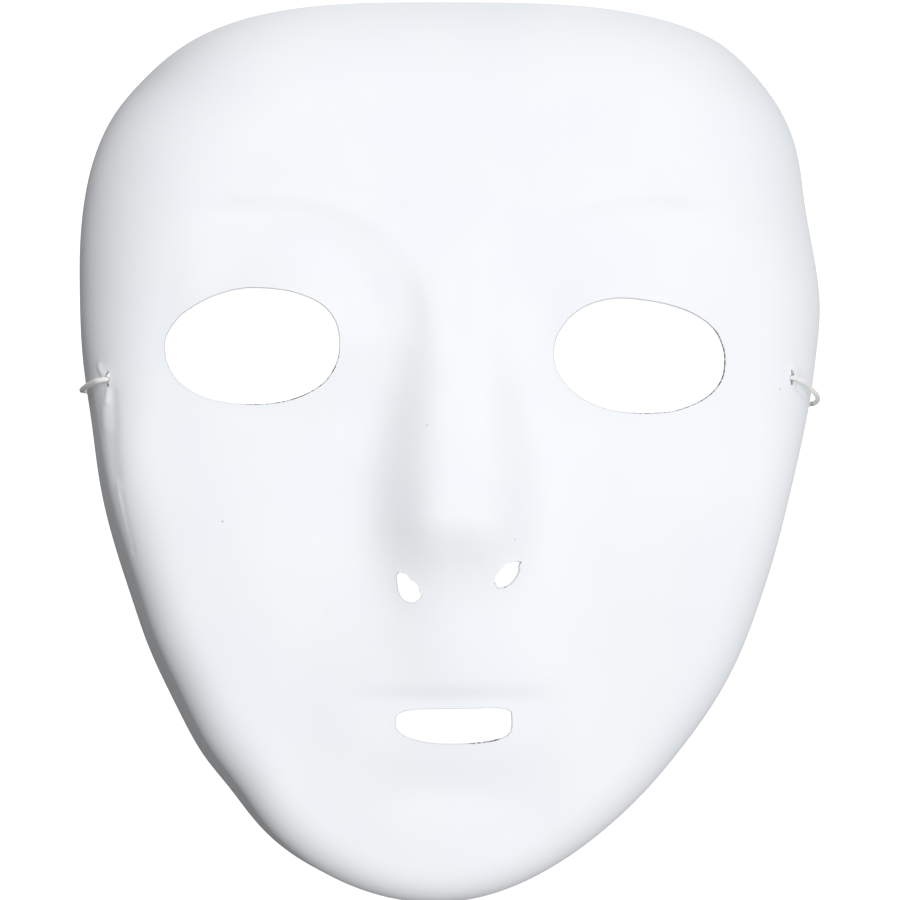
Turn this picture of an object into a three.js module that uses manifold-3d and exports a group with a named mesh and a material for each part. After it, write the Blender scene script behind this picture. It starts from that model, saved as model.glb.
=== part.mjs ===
// A plain white full-face mask, moulded from one thin sheet of plastic and trimmed by hand, with a
// thin round elastic knotted through a slot in each side wall. It lies face up on the trimmed edge of
// its side walls: X runs across the face to the viewer's right, Y up the face towards the forehead and
// Z out of the face. The origin is under the middle of the mask. Sizes are in millimetres.
import * as THREE from 'three';
import { mergeVertices } from 'three/addons/utils/BufferGeometryUtils.js';
import Module from 'manifold-3d';

// The trimmed outline: a squarish forehead half over a long oval jaw half, joined at the temples.
const OUTLINE = {
  x: -0.27, y: 42.9, halfWidth: 88.4,
  forehead: 61.1, foreheadAcross: 3.27, foreheadUp: 2.39,
  jaw: 148.7, jawAcross: 2.15, jawDown: 1.98,
};
// The hand-trimmed edge strays from it: at a height on one side it stands out (or in) by a little.
const TRIM_STRAYS = [
  { side: 1, y: 95.9, reach: 4.7, out: 0.7 },
  { side: 1, y: 58.6, reach: 14.8, out: -2.15 },
  { side: 1, y: 32.8, reach: 9.7, out: 0.55 },
  { side: 1, y: -9.1, reach: 19.1, out: -1.3 },
  { side: -1, y: 88.1, reach: 7.7, out: -0.75 },
  { side: -1, y: 5.6, reach: 13.7, out: -0.85 },
  { side: -1, y: -48.7, reach: 10.6, out: 0.7 },
  { side: -1, y: -83.3, reach: 8.3, out: -1.25 },
];
const STRAY_ONSET = 0.4;
// The lower face leans a little to the viewer's left.
const CHIN_LEAN = { shift: 4.4, from: -46.7, to: -100.8 };

// The height of the trimmed edge above the table: it rests along four short stretches, arches up over
// the elastic at the ears, and rises to the forehead and a little to the chin.
const EDGE = {
  earArch: 12, earHalf: 41,
  foreheadFrom: 50, foreheadRise: 36, foreheadTo: 104, foreheadEase: 1.4,
  chinFrom: -50, chinRise: 15, chinTo: -107,
};
// From the edge up, the side wall has a steep foot, a straight stretch and a bend over the shoulder. The
// foot is the greater part above the temples and the lesser along the jaw, where the bend is tighter.
const WALL = {
  thickness: 0.8, shoulderTop: 47,
  bend: 34, jawBend: 14, chinBend: 9, bendPower: 2.5, bendStart: 0.985, chinStart: 0.998,
  footPart: 0.75, jawFootPart: 0.13, footSpread: 0.9, jawFrom: 0.1, jawTo: -0.6, chinPower: 40,
};
const CROWN = { rise: 6.8, power: 1.8 };

// The middle of the relief, which runs down the nose. Places across the face are measured from it.
const MIDDLE = 0.3;
// The hollow round each eye is deepest beside the nose. It dies out on the bridge, at the temple and
// below the eye. A shallow bank, the brow's line, runs round over it, and the lid swells up inside.
const BROW_HOLLOW = {
  x: 38.5, y: 29.7, halfWidth: 26, halfHeight: 24.3, power: 2, depth: 2.1, floorTo: 0.66, bankTo: 1.11,
  deepTo: 12, shallowFrom: 38, shallowPart: 0.58, templeFrom: 32, templeTo: 66,
  bridgeFrom: 9, bridgeTo: -3, belowFrom: 34, belowTo: -6,
};
// A shallow squarer drop follows it round the outer corner of the eye.
const SOCKET = {
  x: 46, y: 24, halfWidth: 37.5, halfHeight: 32.5, power: 2.45, depth: 0.8, floorTo: 0.93, bankTo: 1.07,
  templeFrom: 48, templeTo: 64, belowFrom: 36, belowTo: 22,
};
const LID = { x: 33.5, y: 32, halfWidth: 35, halfHeight: 28, rise: 4.4 };
const NOSE = {
  rise: 10.4, root: 59, tip: -16.3, underFrom: -15.5, underLength: 15.2, underPower: 1.75,
  spreadAtRoot: 9, spreadAtTip: 15.3, widensFrom: 38, widensTo: -10, power: 3.2,
};
// The mouth is a broad swelling with a small pad for the upper lip, and a line under it that the mouth
// is cut along. A soft crease parts it from the chin.
const MUZZLE = { y: -55, halfWidth: 40, halfHeight: 44, rise: 3.6 };
const LIP_PAD = { y: -43, halfWidth: 17, halfHeight: 19, rise: 1.3 };
const LIP_LINE = { y: -57.2, depth: 0.75, above: 2.3, below: 8, halfWidth: 12, fade: 16 };
const CHIN_CREASE = { y: -77, depth: 0.45, reach: 6.3, halfWidth: 12, fade: 18 };
const CHIN = { y: -94.8, rise: 1.5, halfWidth: 30, halfHeight: 18 };
const CHEEK = { x: 49, y: -18.7, rise: 2.05, halfWidth: 36, halfHeight: 53 };

// The cut holes, each an oval drawn in four quarters. Corners: 2 is elliptic, more is squarer.
// The order of the corners is upper right, upper left, lower left, lower right.
const EYE_LEFT = {
  x: -46.8, y: 23.8, left: 19.9, right: 20.1, up: 13.1, down: 13.5,
  corners: [2.57, 1.7, 2.35, 2.14], tilt: -0.03, sides: 44,
};
const EYE_RIGHT = {
  x: 39.3, y: 20.9, left: 17.2, right: 22.4, up: 13.6, down: 12.4,
  corners: [2.5, 2.1, 2.0, 2.1], tilt: -0.11, sides: 44,
};
const NOSTRIL_LEFT = {
  x: -10.9, y: -32.3, left: 2.4, right: 2.4, up: 5.0, down: 2.8,
  corners: [1.5, 1.6, 1.8, 2.2], tilt: 0.52, sides: 16,
};
const NOSTRIL_RIGHT = {
  x: 11.2, y: -28.8, left: 1.9, right: 2.2, up: 4.3, down: 3.3,
  corners: [1.9, 1.8, 2.2, 1.8], tilt: -0.76, sides: 16,
};
const MOUTH = {
  x: -0.6, y: -62.4, left: 13.4, right: 13.3, up: 4.1, down: 4.0,
  corners: [4, 3, 2.6, 4], tilt: 0.01, sag: 0.9, sides: 32,
};

// The elastic, its two slots and its end knots.
const SLOT = { width: 2.4, length: 6.5, halfRound: 6 };
const SLOT_LEFT = { x: -80, y: 16.2 };
const SLOT_RIGHT = { x: 77.75, y: 16.6 };
const CORD = { diameter: 1.2, sides: 8, steps: 84, endSteps: 0.33, endLength: 0.14 };
const KNOT = { radius: 2.0, flattening: 0.85, behindWall: 3.15, around: 10, down: 7 };
// The elastic's route, from the left knot out through its slot, down the outside of the wall, round the
// edge, loosely across the table under the mask, and the same way back up to the right knot.
const CORD_ROUTE = [
  [-79.25, 16.2, 42.1], [-80.75, 16.1, 43], [-82.25, 15.85, 42.6], [-83.3, 15.5, 40.5],
  [-84.65, 15, 36.1], [-85.7, 14.6, 30.2], [-86.65, 14.3, 21.5], [-87.5, 14.1, 11.5],
  [-87.35, 14, 8.35], [-85.3, 13.7, 7.15], [-82.6, 13.1, 5.9], [-79.3, 11.2, 2.3], [-76.2, 7, 1],
  [-71.5, -9, 0.65], [-64, -25.5, 0.65], [-54, -40, 0.65], [-41, -49, 0.65], [-28, -44, 0.65],
  [-21, -29, 0.65], [-13, -14, 0.65], [13, -13, 0.65], [23, -27, 0.65], [31, -42, 0.65],
  [43, -48, 0.65], [55, -40, 0.65], [65, -25, 0.65], [72, -9.5, 0.65],
  [76.2, 5.2, 1], [79.3, 8.8, 2.3], [82.6, 10.3, 5.9], [85, 10.7, 7.6], [87.05, 11, 9],
  [87.2, 11.2, 12], [86.35, 11.6, 23], [85.4, 12.2, 31.4], [83.85, 13.2, 38.4], [81.95, 14.5, 42.2],
  [80.2, 15.7, 44.9], [78.5, 16.4, 45.3], [77.1, 16.6, 44.3],
];

// The fineness of the shell's facets: each band is a length in millimetres and its number of cells.
const COLUMN_BANDS = [[1.5, 1], [7.5, 3], [57, 7], [46, 13], [57, 7], [7.5, 3], [1.5, 1]];
const ROW_BANDS = [[1.5, 1], [7.5, 3], [27, 7], [56, 16], [54, 11], [22, 4], [35, 4], [8, 2]];
const CORNERS = { upper: 52, lower: -52 };
const EDGE_STEPS = 240;
const SLOPE_STEP = 0.05;
// How far a cutter reaches through the wall.
const CUT_DEPTH = { hole: 60, slot: 8 };
const WELD = 1e-4;

const { lerp, mapLinear } = THREE.MathUtils;
const clamp = (value) => Math.min(1, Math.max(0, value));
const smooth = (value) => {
  const t = clamp(value);
  return t * t * (3 - 2 * t);
};
// Rises from 0 at one value to 1 at another.
const fade = (value, none, full) => smooth((value - none) / (full - none));
// A rounded hump across a line, and a mound over an oval that ends at its edge.
const bell = (across) => Math.exp(-across * across);
const mound = (across, up) => Math.max(0, 1 - across * across - up * up) ** 2;

// The distance from the outline's middle to the trimmed edge in a direction.
function edgeRadius(angle) {
  const across = Math.abs(Math.cos(angle));
  const along = Math.abs(Math.sin(angle));
  const upper = Math.sin(angle) > 0;
  const half = upper ? OUTLINE.forehead : OUTLINE.jaw;
  const acrossPower = upper ? OUTLINE.foreheadAcross : OUTLINE.jawAcross;
  const alongPower = upper ? OUTLINE.foreheadUp : OUTLINE.jawDown;
  let low = 0;
  let high = 2 * OUTLINE.jaw;
  while (high - low > WELD) {
    const radius = (low + high) / 2;
    const level = (radius * across / OUTLINE.halfWidth) ** acrossPower
      + (radius * along / half) ** alongPower;
    if (level > 1) high = radius;
    else low = radius;
  }
  const y = OUTLINE.y + low * Math.sin(angle);
  const stray = TRIM_STRAYS.reduce((sum, place) => (
    sum + place.out * bell((y - place.y) / place.reach) * fade(place.side * Math.cos(angle), 0, STRAY_ONSET)
  ), 0);
  return low + stray;
}

// The height of the trimmed edge above the table, at a place up the face.
function edgeHeight(y) {
  const arch = EDGE.earArch * Math.max(0, 1 - (y / EDGE.earHalf) ** 2) ** 2;
  const climb = (y - EDGE.foreheadFrom) / (EDGE.foreheadTo - EDGE.foreheadFrom);
  const forehead = EDGE.foreheadRise * smooth(climb / EDGE.foreheadEase) / smooth(1 / EDGE.foreheadEase);
  const chin = EDGE.chinRise * Math.max(0, (EDGE.chinFrom - y) / (EDGE.chinFrom - EDGE.chinTo)) ** 2;
  return arch + forehead + chin;
}

const leanAt = (y) => CHIN_LEAN.shift * fade(y, CHIN_LEAN.from, CHIN_LEAN.to);

// The bend's profile: its height, from 1 where it ends level to 0 where it is upright.
const superellipse = (part) => (1 - part ** WALL.bendPower) ** (1 / WALL.bendPower);

// The moulded blank before its features: steep side walls that bend over a shoulder into a shallow crown.
function blankHeight(x, y) {
  const across = x - OUTLINE.x;
  const up = y - OUTLINE.y;
  const angle = Math.atan2(up, across);
  const radius = edgeRadius(angle);
  const part = Math.min(1, Math.hypot(across, up) / radius);
  const inward = (1 - part) * radius;
  const edge = edgeHeight(OUTLINE.y + radius * Math.sin(angle));
  const jawward = fade(Math.sin(angle), WALL.jawFrom, WALL.jawTo);
  const chinward = Math.max(0, -Math.sin(angle)) ** WALL.chinPower;
  const bend = lerp(lerp(WALL.bend, WALL.jawBend, jawward), WALL.chinBend, chinward);
  const footPart = lerp(WALL.footPart, WALL.jawFootPart, jawward);

  const rise = WALL.shoulderTop - edge;
  const start = Math.min(
    lerp(WALL.bendStart, WALL.chinStart, chinward),
    superellipse(Math.max(0, 1 - rise / bend)),
  );
  const slope = (start / superellipse(start)) ** (WALL.bendPower - 1);
  const straight = rise - bend * (1 - superellipse(start));
  const foot = footPart * straight;
  const run = (straight - foot) / slope;
  const left = Math.min(start, Math.max(0, start - (inward - run) / bend));
  const wall = foot * (1 - Math.exp(-inward / WALL.footSpread)) + slope * Math.min(inward, run)
    + bend * (superellipse(left) - superellipse(start));
  return edge + wall + CROWN.rise * (1 - part ** CROWN.power);
}

// How far the features stand out of the blank, or in.
function featureHeight(x, y) {
  const side = Math.abs(x - MIDDLE);
  const hollowReach = (
    Math.abs((side - BROW_HOLLOW.x) / BROW_HOLLOW.halfWidth) ** BROW_HOLLOW.power
    + Math.abs((y - BROW_HOLLOW.y) / BROW_HOLLOW.halfHeight) ** BROW_HOLLOW.power
  ) ** (1 / BROW_HOLLOW.power);
  const beside = fade(side, BROW_HOLLOW.shallowFrom, BROW_HOLLOW.deepTo);
  const hollow = BROW_HOLLOW.depth * fade(hollowReach, BROW_HOLLOW.bankTo, BROW_HOLLOW.floorTo)
    * lerp(BROW_HOLLOW.shallowPart, 1, beside)
    * fade(side, BROW_HOLLOW.templeTo, BROW_HOLLOW.templeFrom)
    * fade(side, BROW_HOLLOW.bridgeTo, BROW_HOLLOW.bridgeFrom)
    * fade(y, BROW_HOLLOW.belowTo, BROW_HOLLOW.belowFrom);

  const socketReach = (
    Math.abs((side - SOCKET.x) / SOCKET.halfWidth) ** SOCKET.power
    + Math.max(0, (y - SOCKET.y) / SOCKET.halfHeight) ** SOCKET.power
  ) ** (1 / SOCKET.power);
  const socket = SOCKET.depth * fade(socketReach, SOCKET.bankTo, SOCKET.floorTo)
    * fade(side, SOCKET.templeTo, SOCKET.templeFrom)
    * fade(y, SOCKET.belowTo, SOCKET.belowFrom);
  const lid = LID.rise * mound((side - LID.x) / LID.halfWidth, (y - LID.y) / LID.halfHeight);

  const downNose = fade(y, NOSE.widensFrom, NOSE.widensTo);
  const offRidge = side / lerp(NOSE.spreadAtRoot, NOSE.spreadAtTip, downNose);
  const underTip = Math.max(0, NOSE.underFrom - y) / NOSE.underLength;
  const nose = NOSE.rise * fade(y, NOSE.root, NOSE.tip)
    * Math.exp(-(offRidge ** NOSE.power) - underTip ** NOSE.underPower);

  const muzzle = MUZZLE.rise * mound(side / MUZZLE.halfWidth, (y - MUZZLE.y) / MUZZLE.halfHeight);
  const lipPad = LIP_PAD.rise * mound(side / LIP_PAD.halfWidth, (y - LIP_PAD.y) / LIP_PAD.halfHeight);
  const lipReach = y > LIP_LINE.y ? LIP_LINE.above : LIP_LINE.below;
  const lipLine = LIP_LINE.depth * bell((y - LIP_LINE.y) / lipReach)
    * (1 - smooth((side - LIP_LINE.halfWidth) / LIP_LINE.fade));
  const crease = CHIN_CREASE.depth * bell((y - CHIN_CREASE.y) / CHIN_CREASE.reach)
    * (1 - smooth((side - CHIN_CREASE.halfWidth) / CHIN_CREASE.fade));
  const chin = CHIN.rise * mound(side / CHIN.halfWidth, (y - CHIN.y) / CHIN.halfHeight);
  const cheek = CHEEK.rise * mound((side - CHEEK.x) / CHEEK.halfWidth, (y - CHEEK.y) / CHEEK.halfHeight);
  return lid + nose + muzzle + lipPad + chin + cheek - hollow - socket - lipLine - crease;
}

function faceHeight(x, y) {
  const straightened = x + leanAt(y);
  return blankHeight(straightened, y) + featureHeight(straightened, y);
}

// The outward direction of the front surface, from its slope. At the edge it looks inwards for it.
function faceNormal(x, y) {
  const inward = (value, middle) => (value > middle ? -SLOPE_STEP : SLOPE_STEP);
  const stepX = inward(x, OUTLINE.x);
  const stepY = inward(y, OUTLINE.y);
  const here = faceHeight(x, y);
  const slopeX = (faceHeight(x + stepX, y) - here) / stepX;
  const slopeY = (faceHeight(x, y + stepY) - here) / stepY;
  return new THREE.Vector3(-slopeX, -slopeY, 1).normalize();
}

// A stretch of the trimmed edge between two directions, as a function of the part of its length.
function edgeStretch(fromAngle, toAngle) {
  const points = [];
  const lengths = [0];
  for (let i = 0; i <= EDGE_STEPS; i++) {
    const angle = lerp(fromAngle, toAngle, i / EDGE_STEPS);
    const radius = edgeRadius(angle);
    const y = OUTLINE.y + radius * Math.sin(angle);
    const x = OUTLINE.x + radius * Math.cos(angle) - leanAt(y);
    points.push(new THREE.Vector2(x, y));
    if (i > 0) lengths.push(lengths[i - 1] + points[i].distanceTo(points[i - 1]));
  }
  return (part) => {
    const target = part * lengths[EDGE_STEPS];
    let i = 1;
    while (i < EDGE_STEPS && lengths[i] < target) i++;
    const t = (target - lengths[i - 1]) / (lengths[i] - lengths[i - 1]);
    return points[i - 1].clone().lerp(points[i], t);
  };
}

// The places of the grid lines, from 0 to 1, out of bands of a length and a number of cells.
function gridLines(bands) {
  const total = bands.reduce((sum, [length]) => sum + length, 0);
  const lines = [0];
  let start = 0;
  for (const [length, cells] of bands) {
    for (let i = 1; i <= cells; i++) lines.push((start + length * i / cells) / total);
    start += length;
  }
  return lines;
}

// The grid of points in plan: its four sides follow the trimmed edge, and the inside blends between them.
function planGrid(columns, rows) {
  const upper = THREE.MathUtils.degToRad(CORNERS.upper);
  const lower = THREE.MathUtils.degToRad(CORNERS.lower);
  const top = edgeStretch(Math.PI - upper, upper);
  const bottom = edgeStretch(-Math.PI - lower, lower);
  const left = edgeStretch(Math.PI - lower, Math.PI - upper);
  const right = edgeStretch(lower, upper);
  return rows.map((v) => columns.map((u) => {
    const point = bottom(u).multiplyScalar(1 - v).addScaledVector(top(u), v);
    point.addScaledVector(left(v), 1 - u).addScaledVector(right(v), u);
    point.addScaledVector(bottom(0), -(1 - u) * (1 - v)).addScaledVector(bottom(1), -u * (1 - v));
    return point.addScaledVector(top(0), -(1 - u) * v).addScaledVector(top(1), -u * v);
  }));
}

// The whole shell, before its holes: front and back surfaces a wall's thickness apart, closed at the edge.
function shellGeometry() {
  const columns = gridLines(COLUMN_BANDS);
  const rows = gridLines(ROW_BANDS);
  const width = columns.length;
  const height = rows.length;
  const front = [];
  const back = [];
  planGrid(columns, rows).forEach((row, j) => row.forEach(({ x, y }, i) => {
    const atEdge = i % (width - 1) === 0 || j % (height - 1) === 0;
    const point = new THREE.Vector3(x, y, atEdge ? edgeHeight(y) : faceHeight(x, y));
    const inner = point.clone().addScaledVector(faceNormal(x, y), -WALL.thickness);
    inner.z = Math.max(0, inner.z);
    front.push(point);
    back.push(inner);
  }));
  const triangles = [];
  const addQuad = (a, b, c, d, flip) => {
    if (flip) triangles.push(a, b, d, b, c, d);
    else triangles.push(a, b, c, a, c, d);
  };
  const count = front.length;
  for (let j = 0; j + 1 < height; j++) {
    for (let i = 0; i + 1 < width; i++) {
      const a = j * width + i;
      const corners = [a, a + 1, a + 1 + width, a + width];
      const flip = (i < width / 2) !== (j < height / 2);
      addQuad(...corners, flip);
      const [p, q, r, s] = corners.map((corner) => corner + count);
      addQuad(q, p, s, r, !flip);
    }
  }
  const rim = [];
  for (let i = 0; i < width - 1; i++) rim.push(i);
  for (let j = 0; j < height - 1; j++) rim.push(j * width + width - 1);
  for (let i = width - 1; i > 0; i--) rim.push((height - 1) * width + i);
  for (let j = height - 1; j > 0; j--) rim.push(j * width);
  rim.forEach((a, k) => {
    const b = rim[(k + 1) % rim.length];
    addQuad(b, a, a + count, b + count, false);
  });
  const geometry = new THREE.BufferGeometry().setFromPoints([...front, ...back]);
  geometry.setIndex(triangles);
  return geometry;
}

// A closed outline of an oval in four quarters, tilted about its middle and bent down in the middle.
function ovalShape(hole) {
  const points = [];
  for (let i = 0; i < hole.sides; i++) {
    const angle = (i + 0.5) / hole.sides * 2 * Math.PI;
    const across = Math.cos(angle);
    const up = Math.sin(angle);
    const quarter = Math.floor(angle / (Math.PI / 2));
    const power = 2 / hole.corners[quarter];
    const x = Math.sign(across) * Math.abs(across) ** power * (across > 0 ? hole.right : hole.left);
    const bend = (hole.sag ?? 0) * (1 - (x / hole.left) ** 2);
    const y = Math.sign(up) * Math.abs(up) ** power * (up > 0 ? hole.up : hole.down) - bend;
    points.push(new THREE.Vector2(x, y).rotateAround(new THREE.Vector2(), hole.tilt));
  }
  return new THREE.Shape(points.map((point) => point.add(new THREE.Vector2(hole.x, hole.y))));
}

function holeCutter(hole) {
  const cutter = new THREE.ExtrudeGeometry(ovalShape(hole), { depth: CUT_DEPTH.hole, bevelEnabled: false });
  return cutter.translate(0, 0, faceHeight(hole.x, hole.y) - CUT_DEPTH.hole / 2);
}

// The directions at a slot: out of the wall, along the slot's length, and down the wall.
function slotFrame({ x, y }) {
  const centre = new THREE.Vector3(x, y, faceHeight(x, y));
  const out = faceNormal(x, y);
  const down = new THREE.Vector3(0, 0, -1).addScaledVector(out, out.z).normalize();
  const along = new THREE.Vector3().crossVectors(out, down);
  return { centre, out, down, along };
}

function slotCutter(place) {
  const { centre, out, down, along } = slotFrame(place);
  const radius = SLOT.width / 2;
  const straight = SLOT.length / 2 - radius;
  const shape = new THREE.Shape();
  for (const end of [1, -1]) {
    for (let i = 0; i <= SLOT.halfRound; i++) {
      const angle = end > 0 ? i / SLOT.halfRound * Math.PI : Math.PI * (1 + i / SLOT.halfRound);
      const point = [radius * Math.cos(angle), end * straight + radius * Math.sin(angle)];
      if (shape.curves.length === 0 && i === 0) shape.moveTo(...point);
      else shape.lineTo(...point);
    }
  }
  const cutter = new THREE.ExtrudeGeometry(shape, { depth: CUT_DEPTH.slot, bevelEnabled: false });
  cutter.translate(0, 0, -CUT_DEPTH.slot / 2);
  const basis = new THREE.Matrix4().makeBasis(down, along, out).setPosition(centre);
  return cutter.applyMatrix4(basis);
}

const manifold = await Module();
manifold.setup();

function toSolid(geometry) {
  const bare = geometry.clone();
  bare.deleteAttribute('normal');
  bare.deleteAttribute('uv');
  const merged = mergeVertices(bare, WELD);
  return new manifold.Manifold(new manifold.Mesh({
    numProp: 3,
    vertProperties: merged.attributes.position.array,
    triVerts: Uint32Array.from(merged.index.array),
  }));
}

function toGeometry(solid) {
  const mesh = solid.getMesh();
  const geometry = new THREE.BufferGeometry();
  geometry.setAttribute('position', new THREE.BufferAttribute(mesh.vertProperties, mesh.numProp));
  geometry.setIndex(new THREE.BufferAttribute(mesh.triVerts, 1));
  geometry.computeVertexNormals();
  return geometry;
}

function maskShell() {
  let shell = toSolid(shellGeometry());
  const holes = [EYE_LEFT, EYE_RIGHT, NOSTRIL_LEFT, NOSTRIL_RIGHT, MOUTH];
  const cutters = [...holes.map(holeCutter), slotCutter(SLOT_LEFT), slotCutter(SLOT_RIGHT)];
  for (const cutter of cutters) shell = shell.subtract(toSolid(cutter));
  const material = new THREE.MeshStandardMaterial({ color: 0xf4f6f8, roughness: 0.42, metalness: 0 });
  const mesh = new THREE.Mesh(toGeometry(shell), material);
  mesh.name = 'mask_shell';
  return mesh;
}

// The route as one smooth curve, whose steps are short in its two ends and longer between them.
class CordCurve extends THREE.CatmullRomCurve3 {
  getUtoTmapping(part, length) {
    const fromEnd = Math.min(part, 1 - part);
    const run = fromEnd < CORD.endSteps
      ? fromEnd / CORD.endSteps * CORD.endLength
      : mapLinear(fromEnd, CORD.endSteps, 0.5, CORD.endLength, 0.5);
    return super.getUtoTmapping(part < 0.5 ? run : 1 - run, length);
  }
}

const elasticMaterial = new THREE.MeshStandardMaterial({ color: 0xf2f1ee, roughness: 0.8, metalness: 0 });

function elasticCord() {
  const curve = new CordCurve(CORD_ROUTE.map((point) => new THREE.Vector3(...point)), false, 'centripetal');
  const section = [];
  for (let i = 0; i < CORD.sides; i++) {
    const angle = i / CORD.sides * 2 * Math.PI;
    section.push(new THREE.Vector2(Math.cos(angle), Math.sin(angle)).multiplyScalar(CORD.diameter / 2));
  }
  const round = new THREE.Shape(section);
  const geometry = new THREE.ExtrudeGeometry(round, { steps: CORD.steps, extrudePath: curve });
  const mesh = new THREE.Mesh(geometry, elasticMaterial);
  mesh.name = 'elastic_cord';
  return mesh;
}

// A knot lies against the inside of the wall, behind its slot.
function endKnot(name, slot) {
  const { centre, out, down, along } = slotFrame(slot);
  const ball = new THREE.SphereGeometry(KNOT.radius, KNOT.around, KNOT.down);
  const mesh = new THREE.Mesh(ball, elasticMaterial.clone());
  mesh.quaternion.setFromRotationMatrix(new THREE.Matrix4().makeBasis(down, along, out));
  mesh.scale.set(1, 1, KNOT.flattening);
  mesh.position.copy(centre).addScaledVector(out, -KNOT.behindWall);
  mesh.name = name;
  return mesh;
}

const mask = new THREE.Group();
mask.add(maskShell(), elasticCord(), endKnot('knot_left', SLOT_LEFT), endKnot('knot_right', SLOT_RIGHT));

export default mask;
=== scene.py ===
# A plain white full-face mask lying face up on a pale floor, with the elastic that holds it on.
# Places and sizes are in millimetres, in the mask's own frame: X across the face to the viewer's right,
# Y up the face and Z out of it. MM turns them into Blender's metres.
import math
import bpy
import numpy as np
from types import SimpleNamespace as Sizes
from mathutils.geometry import delaunay_2d_cdt
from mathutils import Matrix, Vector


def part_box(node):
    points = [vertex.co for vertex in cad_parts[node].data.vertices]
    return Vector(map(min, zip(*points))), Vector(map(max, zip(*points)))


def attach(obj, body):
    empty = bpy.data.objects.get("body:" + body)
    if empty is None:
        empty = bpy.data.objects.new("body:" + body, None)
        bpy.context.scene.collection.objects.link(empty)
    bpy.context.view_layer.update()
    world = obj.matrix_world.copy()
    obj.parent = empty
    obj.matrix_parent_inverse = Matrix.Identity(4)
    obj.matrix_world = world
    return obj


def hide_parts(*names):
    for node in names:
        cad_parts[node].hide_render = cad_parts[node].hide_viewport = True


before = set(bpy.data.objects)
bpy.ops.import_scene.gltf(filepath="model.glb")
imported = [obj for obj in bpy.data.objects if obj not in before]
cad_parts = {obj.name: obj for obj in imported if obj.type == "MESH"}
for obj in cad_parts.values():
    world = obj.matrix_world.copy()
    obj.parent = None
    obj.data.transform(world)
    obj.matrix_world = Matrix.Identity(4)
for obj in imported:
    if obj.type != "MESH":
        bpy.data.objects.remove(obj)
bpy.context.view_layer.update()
MM = 0.001

# Camera
# It looks straight down on the face from a metre above the floor through a long lens, and stands a
# little to the viewer's left of the nose.
CAMERA_PLACE = (-35.0, -0.12, 1000.0)
CAMERA_LOOKS_AT_X = 0.36
CAMERA_LENS = 166.1
CAMERA_SENSOR = 36

camera_data = bpy.data.cameras.new("camera")
camera_data.lens = CAMERA_LENS
camera_data.sensor_width = CAMERA_SENSOR
camera = bpy.data.objects.new("camera", camera_data)
camera.location = [value * MM for value in CAMERA_PLACE]
camera.rotation_euler = (0, -math.atan2(CAMERA_LOOKS_AT_X - CAMERA_PLACE[0], CAMERA_PLACE[2]), 0)
bpy.context.scene.collection.objects.link(camera)
bpy.context.scene.camera = camera

# Elastic
# One length of thin round white elastic, a rubber core in a fine braid. Each end goes in through a slot
# in a side wall to its knot, and the rest lies loosely on the floor under the mask.
CORD_DIAMETER = 1.2
CORD_ROUTE = [
    (-79.25, 16.2, 42.1), (-80.75, 16.1, 43), (-82.25, 15.85, 42.6), (-83.3, 15.5, 40.5),
    (-84.65, 15, 36.1), (-85.7, 14.6, 30.2), (-86.65, 14.3, 21.5), (-87.5, 14.1, 11.5),
    (-87.35, 14, 8.35), (-85.3, 13.7, 7.15), (-82.6, 13.1, 5.9), (-79.3, 11.2, 2.3), (-76.2, 7, 1),
    (-71.5, -9, 0.65), (-64, -25.5, 0.65), (-54, -40, 0.65), (-41, -49, 0.65), (-28, -44, 0.65),
    (-21, -29, 0.65), (-13, -14, 0.65), (13, -13, 0.65), (23, -27, 0.65), (31, -42, 0.65),
    (43, -48, 0.65), (55, -40, 0.65), (65, -25, 0.65), (72, -9.5, 0.65),
    (76.2, 5.2, 1), (79.3, 8.8, 2.3), (82.6, 10.3, 5.9), (85, 10.7, 7.6), (87.05, 11, 9),
    (87.2, 11.2, 12), (86.35, 11.6, 23), (85.4, 12.2, 31.4), (83.85, 13.2, 38.4), (81.95, 14.5, 42.2),
    (80.2, 15.7, 44.9), (78.5, 16.4, 45.3), (77.1, 16.6, 44.3),
]
# The braid: threads wind both ways round the cord and pass over and under each other.
BRAID_THREADS = 6
BRAID_TURN = 3.8
BRAID_DEPTH = 0.045
BRAID_STEP = 0.17
BRAID_SIDES = 24
THREAD_ROUNDNESS = 0.7
CORD_END_ROUNDING = 0.35
CORD_END_SMALLEST = 0.02
# How finely the route's curve is drawn, and a direction that neither end of a cord runs in.
CURVE_PARTS = 24
OFF_THE_CORD = (0.3, 0.2, 1.0)
# The elastic leaves its slot a few steps along its line.
STEPS_TO_EXIT = 4


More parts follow.
